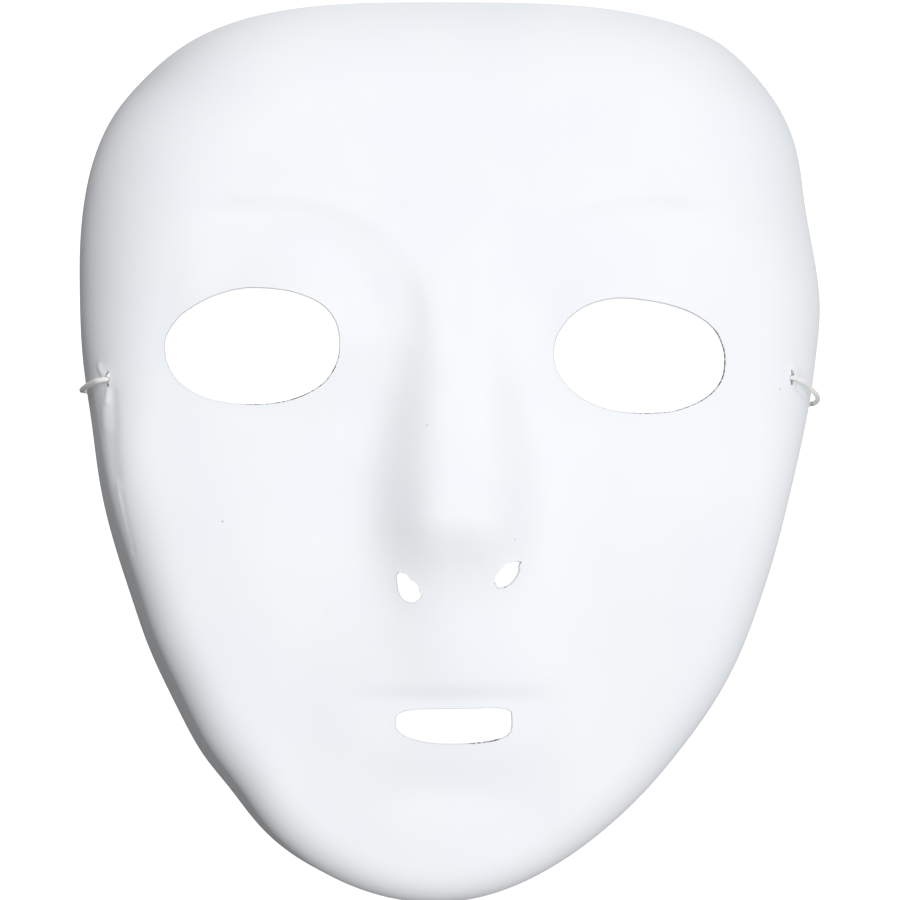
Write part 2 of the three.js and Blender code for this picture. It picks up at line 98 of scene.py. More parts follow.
class Shade:
    """One value in a material's nodes. Sums written on it add Math nodes."""

    def __init__(self, tree, socket=None):
        self.tree = tree
        self.socket = socket

    def node(self, kind, settings=None, inputs=None, output=0):
        """Adds a node: its settings first, then the values or links of its sockets."""
        made = self.tree.nodes.new(kind)
        for name, value in (settings or {}).items():
            setattr(made, name, value)
        for name, value in (inputs or {}).items():
            if isinstance(value, Shade):
                self.tree.links.new(value.socket, made.inputs[name])
            else:
                made.inputs[name].default_value = value
        return Shade(self.tree, made.outputs[output]) if made.outputs else None

    def maths(self, operation, other):
        return self.node("ShaderNodeMath", {"operation": operation}, {0: self, 1: other})

    def __add__(self, other):
        return self.maths("ADD", other)

    __radd__ = __add__

    def __mul__(self, other):
        return self.maths("MULTIPLY", other)

    __rmul__ = __mul__

    def __pow__(self, power):
        return self.maths("POWER", power)

    def between(self, none, full):
        """Rises smoothly from 0 to 1 as this value goes from one number to another."""
        span = {"Value": self, "From Min": none, "From Max": full}
        return self.node("ShaderNodeMapRange", {"interpolation_type": "SMOOTHSTEP"}, span)

    def noise(self, size, detail=2.0):
        """Cloudy variation over this place, of about a size in millimetres."""
        inputs = {"Vector": self, "Scale": 1 / (size * MM), "Detail": detail}
        return self.node("ShaderNodeTexNoise", None, inputs)

    def blend(self, first, second):
        """A colour between two, by this value."""
        return self.node("ShaderNodeMix", {"data_type": "RGBA"}, {0: self, 6: first, 7: second}, 2)


def new_finish(name):
    """A material without nodes, as a Shade that adds them, and the place on the piece."""
    material = bpy.data.materials.new(name)
    material.use_nodes = True
    material.node_tree.nodes.clear()
    finish = Shade(material.node_tree)
    return material, finish, finish.node("ShaderNodeTexCoord", output=3)


def close_finish(finish, **sockets):
    """Joins the values to a surface shader, and the shader to the material's output."""
    surface = {name.replace("_", " "): value for name, value in sockets.items()}
    shader = finish.node("ShaderNodeBsdfPrincipled", None, surface)
    finish.node("ShaderNodeOutputMaterial", None, {"Surface": shader})


def elastic_finish():
    """White thread with painted shade down between the threads, and a soft uneven dullness."""
    material, finish, place = new_finish("white_braid")
    gap = finish.node("ShaderNodeAttribute", {"attribute_name": "between_threads"}, output=2)
    worn = place.noise(9).between(0.4, 0.7)
    thread = worn.blend((0.92, 0.915, 0.9, 1), (0.86, 0.855, 0.84, 1))
    # The grey blended in by the depth between the threads is painted shade.
    colour = (gap ** 2 * 0.8).blend(thread, (0.6, 0.6, 0.6, 1))
    fibres = finish.node("ShaderNodeBump", None, {
        "Height": place.noise(0.12, 1.0), "Distance": 0.02 * MM, "Strength": 0.5,
    })
    close_finish(finish, Base_Color=colour, Roughness=0.72 + worn * 0.15, Normal=fibres, Sheen_Weight=0.25)
    return material


def even_route(points, spacing):
    """Evenly spaced points on the smooth curve that passes through the given ones."""
    points = np.array(points, float)
    padded = np.vstack([2 * points[0] - points[1], points, 2 * points[-1] - points[-2]])
    part = np.linspace(0, 1, CURVE_PARTS, endpoint=False)[:, None]
    drawn = []
    for before, start, end, after in zip(padded, padded[1:], padded[2:], padded[3:]):
        behind = np.linalg.norm(start - before) ** 0.5
        across = np.linalg.norm(end - start) ** 0.5
        ahead = np.linalg.norm(after - end) ** 0.5
        leave = across * ((start - before) / behind - (end - before) / (behind + across)) + end - start
        arrive = end - start + across * ((after - end) / ahead - (after - start) / (across + ahead))
        bend = 3 * (end - start) - 2 * leave - arrive
        settle = 2 * (start - end) + leave + arrive
        drawn.append(start + leave * part + bend * part ** 2 + settle * part ** 3)
    drawn = np.vstack([*drawn, points[-1:]])
    run = np.concatenate([[0], np.cumsum(np.linalg.norm(np.diff(drawn, axis=0), axis=1))])
    even = np.linspace(0, run[-1], round(run[-1] / spacing) + 1)
    return np.column_stack([np.interp(even, run, drawn[:, axis]) for axis in range(3)])


def braided_cord(name, line, radius):
    """A closed round cord along a line, with the braid's threads standing out of it."""
    ahead = np.gradient(line, axis=0)
    ahead /= np.linalg.norm(ahead, axis=1)[:, None]
    side = np.cross(ahead[0], OFF_THE_CORD)
    sides = []
    for direction in ahead:
        side = side - direction * np.dot(side, direction)
        side = side / np.linalg.norm(side)
        sides.append(side)
    sides = np.array(sides)
    ups = np.cross(ahead, sides)
    run = np.arange(len(line)) * BRAID_STEP
    turn = np.linspace(0, 2 * math.pi, BRAID_SIDES, endpoint=False)
    along, around = np.meshgrid(run, turn, indexing="ij")
    one_way = BRAID_THREADS * (around / (2 * math.pi) + along / BRAID_TURN)
    other_way = BRAID_THREADS * (around / (2 * math.pi) - along / BRAID_TURN)
    first_on_top = (np.floor(one_way) + np.floor(other_way)) % 2 == 0
    over = np.where(first_on_top, one_way, other_way)
    thread = np.sin(math.pi * (over - np.floor(over))) ** THREAD_ROUNDNESS
    from_end = np.minimum(along, run[-1] - along) / CORD_END_ROUNDING
    rounding = np.sqrt(1 - (1 - np.clip(from_end, CORD_END_SMALLEST, 1)) ** 2)
    size = (radius - BRAID_DEPTH * (1 - thread)) * rounding
    points = line[:, None, :] + size[:, :, None] * (
        np.cos(around)[:, :, None] * sides[:, None, :] + np.sin(around)[:, :, None] * ups[:, None, :])
    faces = []
    for ring in range(len(line) - 1):
        for corner in range(BRAID_SIDES):
            here = ring * BRAID_SIDES + corner
            beside = ring * BRAID_SIDES + (corner + 1) % BRAID_SIDES
            faces.append((here, beside, beside + BRAID_SIDES, here + BRAID_SIDES))
    last = (len(line) - 1) * BRAID_SIDES
    faces.append(tuple(reversed(range(BRAID_SIDES))))
    faces.append(tuple(range(last, last + BRAID_SIDES)))
    mesh = bpy.data.meshes.new(name)
    mesh.from_pydata((points.reshape(-1, 3) * MM).tolist(), [], faces)
    mesh.attributes.new("between_threads", "FLOAT", "POINT").data.foreach_set("value", (1 - thread).ravel())
    mesh.shade_smooth()
    piece = bpy.data.objects.new(name, mesh)
    bpy.context.scene.collection.objects.link(piece)
    return piece


white_braid = elastic_finish()
elastic_line = even_route(CORD_ROUTE, BRAID_STEP)
elastic = braided_cord("braided_elastic", elastic_line, CORD_DIAMETER / 2)
elastic.data.materials.append(white_braid)
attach(elastic, "root")
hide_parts("elastic_cord")

# End knots
# Each end of the elastic is tied in an overhand knot, pulled up small against the inside of the wall,
# with a short cut tail.
KNOT_SIZE = 0.55
KNOT_OPENING = (0.3, 2 * math.pi - 0.6)
KNOT_POINTS = 25
# Where the cord comes in from the slot, and its tail, in the knot's own units of KNOT_SIZE.
KNOT_LEAD = [(0, -3.8, 0), (0.25, -3.35, 0.2)]
KNOT_TAIL = [(-2.5, -2.75, -1.7), (-3.9, -3.1, -2.3), (-5.4, -3.1, -2.7)]


def tied_knot(name, node, cord_end, inward):
    """An overhand knot about its node's middle, from the cord's end, with the wall on one side."""
    low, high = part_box(node)
    middle = np.array([(a + b) / 2 for a, b in zip(low, high)]) / MM
    toward = -inward
    down = np.array([0, 0, -1.0])
    down -= toward * np.dot(down, toward)
    down /= np.linalg.norm(down)
    sideways = np.cross(down, toward)
    # The loops are the curve of a trefoil, opened where the cord goes in and its tail comes out.
    turn = math.pi + np.linspace(*KNOT_OPENING, KNOT_POINTS)
    loops = np.column_stack([
        np.sin(turn) + 2 * np.sin(2 * turn), np.cos(turn) - 2 * np.cos(2 * turn), -np.sin(3 * turn),
    ])
    path = np.vstack([KNOT_LEAD, loops, KNOT_TAIL]) * KNOT_SIZE
    places = middle + path[:, :1] * down - path[:, 1:2] * toward + path[:, 2:] * sideways
    places[0] = cord_end
    piece = braided_cord(name, even_route(places, BRAID_STEP), CORD_DIAMETER / 2 - BRAID_DEPTH)
    piece.data.materials.append(white_braid)
    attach(piece, "root")
    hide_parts(node)
    return piece


def direction_of(step):
    return step / np.linalg.norm(step)


knot_left = tied_knot(
    "overhand_knot_left", "knot_left", elastic_line[0],
    direction_of(elastic_line[0] - elastic_line[STEPS_TO_EXIT]))
knot_right = tied_knot(
    "overhand_knot_right", "knot_right", elastic_line[-1],
    direction_of(elastic_line[-1] - elastic_line[-1 - STEPS_TO_EXIT]))

# Mask shell
# The face, one sheet of white plastic drawn hot over a mould: a squarish forehead over a long jaw, steep
# side walls, and a blank relief of brows, nose, lips and chin. It was trimmed and its holes cut by hand.
OUTLINE = Sizes(
    x=-0.27, y=42.9, half_width=88.4,
    forehead=61.1, forehead_across=3.27, forehead_up=2.39, jaw=148.7, jaw_across=2.15, jaw_down=1.98,
)
# The hand-trimmed edge strays from its line: on one side at a height, it stands out or in by a little.
TRIM_STRAYS = [
    Sizes(side=1, y=95.9, reach=4.7, out=0.7), Sizes(side=1, y=58.6, reach=14.8, out=-2.15),
    Sizes(side=1, y=32.8, reach=9.7, out=0.55), Sizes(side=1, y=-9.1, reach=19.1, out=-1.3),
    Sizes(side=-1, y=88.1, reach=7.7, out=-0.75), Sizes(side=-1, y=5.6, reach=13.7, out=-0.85),
    Sizes(side=-1, y=-48.7, reach=10.6, out=0.7), Sizes(side=-1, y=-83.3, reach=8.3, out=-1.25),
]
# A stray grows to its full size between the middle line and this cosine of the direction, and the plain
# outline is found by halving a gap this often.
STRAY_ONSET = 0.4
HALVINGS = 22
# The lower face leans a little to the viewer's left.
CHIN_LEAN = Sizes(shift=4.4, start=-46.7, end=-100.8)
# The trimmed edge rests on four short stretches, arches over the elastic, and rises at both ends.
EDGE = Sizes(
    ear_arch=12, ear_half=41, forehead_from=50, forehead_rise=36, forehead_to=104, forehead_ease=1.4,
    chin_from=-50, chin_rise=15, chin_to=-107,
)
# From the edge up, the side wall has a steep foot, a straight stretch and a bend over the shoulder.
WALL = Sizes(
    thickness=0.8, shoulder_top=47,
    bend=34, jaw_bend=14, chin_bend=9, bend_power=2.5, bend_start=0.985, chin_start=0.998,
    foot_part=0.75, jaw_foot_part=0.13, foot_spread=0.9, jaw_from=0.1, jaw_to=-0.6, chin_power=40,
)
CROWN = Sizes(rise=6.8, power=1.8)
# The middle of the relief, which runs down the nose.
MIDDLE = 0.3
# The hollow round each eye is deepest beside the nose, and a shallower drop follows it round the outer
# corner. The lid swells up inside.
BROW_HOLLOW = Sizes(
    x=38.5, y=29.7, half_width=26, half_height=24.3, power=2, depth=2.1, floor_to=0.66, bank_to=1.11,
    deep_to=12, shallow_from=38, shallow_part=0.58, temple_from=32, temple_to=66,
    bridge_from=9, bridge_to=-3, below_from=34, below_to=-6,
)
SOCKET = Sizes(
    x=46, y=24, half_width=37.5, half_height=32.5, power=2.45, depth=0.8, floor_to=0.93, bank_to=1.07,
    temple_from=48, temple_to=64, below_from=36, below_to=22,
)
LID = Sizes(x=33.5, y=32, half_width=35, half_height=28, rise=4.4)
NOSE = Sizes(
    rise=10.4, root=59, tip=-16.3, under_from=-15.5, under_length=15.2, under_power=1.75,
    spread_at_root=9, spread_at_tip=15.3, widens_from=38, widens_to=-10, power=3.2,
)
# The mouth is a broad swelling with a pad for the upper lip, over a line that the mouth is cut along.
MUZZLE = Sizes(y=-55, half_width=40, half_height=44, rise=3.6)
LIP_PAD = Sizes(y=-43, half_width=17, half_height=19, rise=1.3)
LIP_LINE = Sizes(y=-57.2, depth=0.75, above=2.3, below=8, half_width=12, fade=16)
CHIN_CREASE = Sizes(y=-77, depth=0.45, reach=6.3, half_width=12, fade=18)
CHIN = Sizes(y=-94.8, rise=1.5, half_width=30, half_height=18)
CHEEK = Sizes(x=49, y=-18.7, rise=2.05, half_width=36, half_height=53)


def smooth(part):
    part = np.clip(part, 0, 1)
    return part * part * (3 - 2 * part)


def fade(value, none, full):
    """Rises from 0 at one value to 1 at another."""
    return smooth((value - none) / (full - none))


def bell(across):
    return np.exp(-across ** 2)


def mound(across, up):
    """A swelling over an oval that ends at its edge."""
    return np.maximum(0, 1 - across ** 2 - up ** 2) ** 2


def edge_radius(direction):
    """How far the trimmed edge is from the outline's middle in a direction."""
    across = np.abs(np.cos(direction))
    along = np.abs(np.sin(direction))
    upper = np.sin(direction) > 0
    half = np.where(upper, OUTLINE.forehead, OUTLINE.jaw)
    across_power = np.where(upper, OUTLINE.forehead_across, OUTLINE.jaw_across)
    along_power = np.where(upper, OUTLINE.forehead_up, OUTLINE.jaw_down)
    low = np.zeros_like(half)
    high = np.full_like(half, 2 * OUTLINE.jaw)
    for _ in range(HALVINGS):
        radius = (low + high) / 2
        level = (radius * across / OUTLINE.half_width) ** across_power
        level = level + (radius * along / half) ** along_power
        low = np.where(level > 1, low, radius)
        high = np.where(level > 1, radius, high)
    y = OUTLINE.y + low * np.sin(direction)
    strays = sum(
        stray.out * bell((y - stray.y) / stray.reach) * fade(stray.side * np.cos(direction), 0, STRAY_ONSET)
        for stray in TRIM_STRAYS)
    return low + strays


def edge_height(y):
    """How high the trimmed edge is above the table: it arches over the elastic and rises at both ends."""
    arch = EDGE.ear_arch * np.maximum(0, 1 - (y / EDGE.ear_half) ** 2) ** 2
    climb = (y - EDGE.forehead_from) / (EDGE.forehead_to - EDGE.forehead_from)
    forehead = EDGE.forehead_rise * smooth(climb / EDGE.forehead_ease) / smooth(1 / EDGE.forehead_ease)
    chin = np.maximum(0, (EDGE.chin_from - y) / (EDGE.chin_from - EDGE.chin_to))
    return arch + forehead + EDGE.chin_rise * chin ** 2


def lean_at(y):
    return CHIN_LEAN.shift * fade(y, CHIN_LEAN.start, CHIN_LEAN.end)


def superellipse(part):
    return (1 - part ** WALL.bend_power) ** (1 / WALL.bend_power)


def blank_height(x, y):
    """The moulded blank: steep side walls that roll over a shoulder into a shallow crown."""
    across = x - OUTLINE.x
    up = y - OUTLINE.y
    direction = np.arctan2(up, across)
    radius = edge_radius(direction)
    part = np.minimum(1, np.hypot(across, up) / radius)
    edge = edge_height(OUTLINE.y + radius * np.sin(direction))
    inward = (1 - part) * radius
    jawward = fade(np.sin(direction), WALL.jaw_from, WALL.jaw_to)
    chinward = np.maximum(0, -np.sin(direction)) ** WALL.chin_power
    bend = WALL.bend + (WALL.jaw_bend - WALL.bend) * jawward
    bend = bend + (WALL.chin_bend - bend) * chinward
    foot_part = WALL.foot_part + (WALL.jaw_foot_part - WALL.foot_part) * jawward
    rise = WALL.shoulder_top - edge
    start = np.minimum(
        WALL.bend_start + (WALL.chin_start - WALL.bend_start) * chinward,
        superellipse(np.maximum(0, 1 - rise / bend)))
    slope = (start / superellipse(start)) ** (WALL.bend_power - 1)
    straight = rise - bend * (1 - superellipse(start))
    foot = foot_part * straight
    run = (straight - foot) / slope
    left = np.clip(start - (inward - run) / bend, 0, start)
    wall = foot * (1 - np.exp(-inward / WALL.foot_spread)) + slope * np.minimum(inward, run)
    wall = wall + bend * (superellipse(left) - superellipse(start))
    return edge + wall + CROWN.rise * (1 - part ** CROWN.power)


def feature_height(x, y):
    """How far the face's features stand out of the blank, or in."""
    x = x - MIDDLE
    side = np.abs(x)
    reach = (
        np.abs((side - BROW_HOLLOW.x) / BROW_HOLLOW.half_width) ** BROW_HOLLOW.power
        + np.abs((y - BROW_HOLLOW.y) / BROW_HOLLOW.half_height) ** BROW_HOLLOW.power
    ) ** (1 / BROW_HOLLOW.power)
    beside = fade(side, BROW_HOLLOW.shallow_from, BROW_HOLLOW.deep_to)
    hollow = BROW_HOLLOW.depth * fade(reach, BROW_HOLLOW.bank_to, BROW_HOLLOW.floor_to)
    hollow = hollow * (BROW_HOLLOW.shallow_part + (1 - BROW_HOLLOW.shallow_part) * beside)
    hollow = hollow * fade(side, BROW_HOLLOW.temple_to, BROW_HOLLOW.temple_from)
    hollow = hollow * fade(side, BROW_HOLLOW.bridge_to, BROW_HOLLOW.bridge_from)
    hollow = hollow * fade(y, BROW_HOLLOW.below_to, BROW_HOLLOW.below_from)
    socket_reach = (
        np.abs((side - SOCKET.x) / SOCKET.half_width) ** SOCKET.power
        + np.maximum(0, (y - SOCKET.y) / SOCKET.half_height) ** SOCKET.power
    ) ** (1 / SOCKET.power)
    socket = SOCKET.depth * fade(socket_reach, SOCKET.bank_to, SOCKET.floor_to)
    socket = socket * fade(side, SOCKET.temple_to, SOCKET.temple_from)
    socket = socket * fade(y, SOCKET.below_to, SOCKET.below_from)
    lid = LID.rise * mound((side - LID.x) / LID.half_width, (y - LID.y) / LID.half_height)
    down_nose = fade(y, NOSE.widens_from, NOSE.widens_to)
    off_ridge = side / (NOSE.spread_at_root + (NOSE.spread_at_tip - NOSE.spread_at_root) * down_nose)
    under_tip = np.maximum(0, NOSE.under_from - y) / NOSE.under_length
    nose = NOSE.rise * fade(y, NOSE.root, NOSE.tip)
    nose = nose * np.exp(-off_ridge ** NOSE.power - under_tip ** NOSE.under_power)
    muzzle = MUZZLE.rise * mound(x / MUZZLE.half_width, (y - MUZZLE.y) / MUZZLE.half_height)
    lip_pad = LIP_PAD.rise * mound(x / LIP_PAD.half_width, (y - LIP_PAD.y) / LIP_PAD.half_height)
    lip_reach = np.where(y > LIP_LINE.y, LIP_LINE.above, LIP_LINE.below)
    lips = LIP_LINE.depth * bell((y - LIP_LINE.y) / lip_reach)
    lips = lips * (1 - smooth((side - LIP_LINE.half_width) / LIP_LINE.fade))
    crease = CHIN_CREASE.depth * bell((y - CHIN_CREASE.y) / CHIN_CREASE.reach)
    crease = crease * (1 - smooth((side - CHIN_CREASE.half_width) / CHIN_CREASE.fade))
    chin = CHIN.rise * mound(x / CHIN.half_width, (y - CHIN.y) / CHIN.half_height)
    cheek = CHEEK.rise * mound((side - CHEEK.x) / CHEEK.half_width, (y - CHEEK.y) / CHEEK.half_height)
    return lid + nose + muzzle + lip_pad + chin + cheek - hollow - socket - lips - crease


def upright_height(x, y):
    """The height of the face before its chin leans over."""
    return blank_height(x, y) + feature_height(x, y)


def face_height(x, y):
    return upright_height(x + lean_at(y), y)


# Cut holes
# Two eye holes, two nostrils and a mouth slot, cut by hand with a knife, and a narrow slit for the elastic
# in each side wall. Each hole is an oval of four quarters: 2 is an elliptic corner, more is squarer.
EYE_LEFT = Sizes(
    x=-46.8, y=23.8, left=19.9, right=20.1, up=13.1, down=13.5,
    corners=(2.57, 1.7, 2.35, 2.14), tilt=-0.03, sag=0, spacing=0.7,
)
EYE_RIGHT = Sizes(
    x=39.3, y=20.9, left=17.2, right=22.4, up=13.6, down=12.4,
    corners=(2.5, 2.1, 2.0, 2.1), tilt=-0.11, sag=0, spacing=0.7,
)
NOSTRIL_LEFT = Sizes(
    x=-10.9, y=-32.3, left=2.4, right=2.4, up=5.0, down=2.8,
    corners=(1.5, 1.6, 1.8, 2.2), tilt=0.52, sag=0, spacing=0.25,
)
NOSTRIL_RIGHT = Sizes(
    x=11.2, y=-28.8, left=1.9, right=2.2, up=4.3, down=3.3,
    corners=(1.9, 1.8, 2.2, 1.8), tilt=-0.76, sag=0, spacing=0.25,
)
MOUTH = Sizes(
    x=-0.6, y=-62.4, left=13.4, right=13.3, up=4.1, down=4.0,
    corners=(4, 3, 2.6, 4), tilt=0.01, sag=0.9, spacing=0.4,
)
# Ragged places of a cut: where it strays, at an angle round the hole in degrees, by how much it is
# torn out (or a shred left in) and over how wide an angle.
NOSTRIL_LEFT.nicks = [(35, -0.35, 9), (52, 0.25, 7), (-20, -0.3, 10), (-48, 0.25, 8), (118, 0.3, 8)]
NOSTRIL_RIGHT.nicks = [(80, 0.4, 8), (62, -0.35, 7), (-100, -0.3, 12), (-70, 0.25, 7), (150, 0.25, 9)]
MOUTH.nicks = [(162, 0.25, 3), (18, 0.3, 3), (-17, 0.3, 2), (-14, -0.3, 1.2), (-40, 0.12, 8)]
EYE_LEFT.nicks = [(-35, 0.15, 7), (148, 0.15, 8), (60, -0.12, 9)]
EYE_RIGHT.nicks = [(-60, 0.15, 8), (20, -0.12, 7), (170, 0.12, 8)]
SLIT = Sizes(width=1.3, length=3.6, spacing=0.125)
SLIT_LEFT = (-80, 16.2)
SLIT_RIGHT = (77.75, 16.6)
# How far a cut edge's rounded middle stands out, and how unevenly.
CUT_ROUNDING = 0.12
CUT_ROUGHNESS = 0.03
# How finely the outlines are drawn, the step that a slope is measured over, and how often a slit's outline
# is moved back onto the wall.
HOLE_STEPS = 720
SLIT_STEPS = 80
FEWEST_POINTS = 8
SLOPE_STEP = 0.05
SETTLING_STEPS = 8


def evenly_round(points, spacing):
    """A closed outline again, with its points evenly spaced."""
    closed = np.vstack([points, points[:1]])
    run = np.concatenate([[0], np.cumsum(np.linalg.norm(np.diff(closed, axis=0), axis=1))])
    even = np.linspace(0, run[-1], max(FEWEST_POINTS, round(run[-1] / spacing)), endpoint=False)
    return np.column_stack([np.interp(even, run, closed[:, axis]) for axis in range(2)])


def hole_outline(hole):
    """The cut's outline in plan, clockwise, with its ragged places."""
    angle = np.linspace(0, 2 * math.pi, HOLE_STEPS + 1)[:-1] + math.pi / HOLE_STEPS
    across = np.cos(angle)
    up = np.sin(angle)
    power = 2 / np.array(hole.corners)[(angle / (math.pi / 2)).astype(int)]
    x = np.sign(across) * np.abs(across) ** power * np.where(across > 0, hole.right, hole.left)
    y = np.sign(up) * np.abs(up) ** power * np.where(up > 0, hole.up, hole.down)
    y = y - hole.sag * (1 - (x / hole.left) ** 2)
    out = CUT_ROUNDING
    for where, depth, width in hole.nicks:
        away = (np.degrees(angle) - where + 180) % 360 - 180
        out = out + depth * bell(away / width)
    reach = np.hypot(x, y)
    grown = 1 + out / reach
    turn = math.cos(hole.tilt) + 1j * math.sin(hole.tilt)
    places = (x + 1j * y) * grown * turn + hole.x + 1j * hole.y
    return evenly_round(np.column_stack([places.real, places.imag]), hole.spacing)[::-1]


def slit_directions(place):
    """The middle of a slit on the wall, and the directions out of the wall, along the slit and down."""
    x, y = (np.array([value]) for value in place)
    here = face_height(x, y)[0]
    across = (face_height(x + SLOPE_STEP, y)[0] - here) / SLOPE_STEP
    up = (face_height(x, y + SLOPE_STEP)[0] - here) / SLOPE_STEP
    out = direction_of(np.array([-across, -up, 1.0]))
    down = direction_of(np.array([0, 0, -1.0]) + out * out[2])
    return np.array([*place, here]), out, np.cross(out, down), down


def slit_outline(place):
    """A slit that the elastic holds open in its middle, laid on the wall and seen in plan, clockwise."""
    middle, out, along, down = slit_directions(place)
    angle = np.linspace(0, 2 * math.pi, SLIT_STEPS, endpoint=False)
    length = (SLIT.length / 2 + CUT_ROUNDING) * np.sin(angle)
    width = (SLIT.width / 2 + CUT_ROUNDING) * np.cos(angle)
    points = middle + length[:, None] * along + width[:, None] * down
    for _ in range(SETTLING_STEPS):
        below = face_height(points[:, 0], points[:, 1]) - points[:, 2]
        points = points + (below * out[2])[:, None] * out
    outline = evenly_round(points[:, :2], SLIT.spacing)
    area = np.sum(outline[:, 0] * np.roll(outline[:, 1], -1) - np.roll(outline[:, 0], -1) * outline[:, 1])
    return outline[::-1] if area > 0 else outline


# Sheet
# The plastic itself, 0.8 mm thick. Its mesh is drawn on the face laid out flat, so that its facets are as
# small on the steep side walls as on the brow, and then lifted onto the form, front and back.
# The way over the blank is measured once, in each direction from the outline's middle and at stations that
# crowd towards the edge.
DIRECTIONS = 720
STATIONS = 300
EDGE_CROWDING = 3
# How far apart the mesh's points are: on the face, in its fine places and on the trimmed edge.
MESH_SPACING = 1.25
FINE_SPACING = 0.6
EDGE_SPACING = 1.1
# The part of its own spacing that a point keeps away from the outlines, how near two points merge, and
# about how many places distances are measured to at once.
OUTLINE_ROOM = 0.6
MERGE_WITHIN = 1e-7
PLACES_AT_ONCE = 40
# Where the fine mesh lies, each with its reach: round the slits, the nostrils and the wall's crease.
FINE_PLACES = [
    (*SLIT_LEFT, 13), (-78.5, 2, 8), (-77.0, -10, 6), (-75.2, -19, 6), (*SLIT_RIGHT, 11),
    (NOSTRIL_LEFT.x, NOSTRIL_LEFT.y, 7), (NOSTRIL_RIGHT.x, NOSTRIL_RIGHT.y, 7),
]

directions = np.linspace(-math.pi, math.pi, DIRECTIONS + 1)
edges = edge_radius(directions)
stations = 1 - (1 - np.linspace(0, 1, STATIONS + 1)) ** EDGE_CROWDING
radii = edges[:, None] * stations[None, :]
profile_heights = blank_height(
    OUTLINE.x + radii * np.cos(directions)[:, None], OUTLINE.y + radii * np.sin(directions)[:, None])
runs = np.zeros_like(radii)
runs[:, 1:] = np.cumsum(np.hypot(np.diff(radii, axis=1), np.diff(profile_heights, axis=1)), axis=1)
reaches = runs[:, -1]
even_parts = np.linspace(0, 1, STATIONS + 1)
radii_by_run = np.array([
    np.interp(even_parts * run[-1], run, radius) for run, radius in zip(runs, radii)])


def look_up(table, direction, part):
    """A value between the entries of a table over directions and parts of the way to the edge."""
    row = (direction + math.pi) / (2 * math.pi) * DIRECTIONS
    column = np.clip(part, 0, 1) * STATIONS
    i = np.clip(row.astype(int), 0, DIRECTIONS - 1)
    j = np.clip(column.astype(int), 0, STATIONS - 1)
    down = row - i
    along = column - j
    start = table[i, j] * (1 - down) + table[i + 1, j] * down
    end = table[i, j + 1] * (1 - down) + table[i + 1, j + 1] * down
    return start * (1 - along) + end * along


def laid_flat(outline):
    """Plan places on the face, moved to where they lie when the face is laid out flat."""
    x = outline[:, 0] + lean_at(outline[:, 1]) - OUTLINE.x
    y = outline[:, 1] - OUTLINE.y
    direction = np.arctan2(y, x)
    part = np.clip(np.hypot(x, y) / edge_radius(direction), 0, 1)
    run = look_up(runs, direction, 1 - (1 - part) ** (1 / EDGE_CROWDING))
    return np.column_stack([run * np.cos(direction), run * np.sin(direction)])


def lifted(flat):
    """Flat places moved back onto the face's front surface."""
    direction = np.arctan2(flat[:, 1], flat[:, 0])
    run = np.hypot(flat[:, 0], flat[:, 1]) / np.interp(direction, directions, reaches)
    radius = look_up(radii_by_run, direction, run)
    x = OUTLINE.x + radius * np.cos(direction)
    y = OUTLINE.y + radius * np.sin(direction)
    return np.column_stack([x - lean_at(y), y, upright_height(x, y)])


def inside(outline, points):
    """Which points lie inside a closed outline."""
    found = np.zeros(len(points), bool)
    for (x0, y0), (x1, y1) in zip(outline, np.roll(outline, -1, axis=0)):
        if y0 == y1:
            continue
        crossed = (points[:, 1] < y0) != (points[:, 1] < y1)
        found ^= crossed & (points[:, 0] < x0 + (points[:, 1] - y0) / (y1 - y0) * (x1 - x0))
    return found


def nearest(points, places):
    """The distance from each point to the nearest of some places."""
    found = np.full(len(points), np.inf)
    for chunk in np.array_split(places, max(1, len(places) // PLACES_AT_ONCE)):
        gaps = points[:, None, :] - chunk[None, :, :]
        found = np.minimum(found, np.sqrt((gaps ** 2).sum(axis=2).min(axis=1)))
    return found


def hexagonal_grid(spacing, reach):
    rise = spacing * math.sqrt(3) / 2
    across = int(reach / spacing) + 1
    up = int(reach / rise) + 1
    column, row = np.meshgrid(np.arange(-across, across + 1), np.arange(-up, up + 1))
    x = (column + (row % 2) / 2) * spacing
    y = row * rise
    return np.column_stack([x.ravel(), y.ravel()])


def trimmed_edge():
    """The trimmed outline on the flat face, anticlockwise, with points evenly spaced on the real edge.

    It is drawn in by as much as its rounded cut then stands out."""
    plan = np.column_stack([OUTLINE.x + edges * np.cos(directions), OUTLINE.y + edges * np.sin(directions)])
    rise = edge_height(plan[:, 1])
    steps = np.hypot(np.linalg.norm(np.diff(plan, axis=0), axis=1), np.diff(rise))
    run = np.concatenate([[0], np.cumsum(steps)])
    even = np.linspace(0, run[-1], round(run[-1] / EDGE_SPACING), endpoint=False)
    direction = np.interp(even, run, directions)
    reach = np.interp(direction, directions, reaches) - CUT_ROUNDING - CUT_ROUGHNESS
    return np.column_stack([reach * np.cos(direction), reach * np.sin(direction)])


holes = (EYE_LEFT, EYE_RIGHT, NOSTRIL_LEFT, NOSTRIL_RIGHT, MOUTH)
outlines = [trimmed_edge()]
outlines += [laid_flat(hole_outline(hole)) for hole in holes]
outlines += [laid_flat(slit_outline(place)) for place in (SLIT_LEFT, SLIT_RIGHT)]
fine_flat = laid_flat(np.array([place[:2] for place in FINE_PLACES]))
fine_reach = np.array([place[2] for place in FINE_PLACES])


def in_fine_place(points):
    gaps = np.linalg.norm(points[:, None, :] - fine_flat[None, :, :], axis=2)
    return (gaps < fine_reach).any(axis=1)


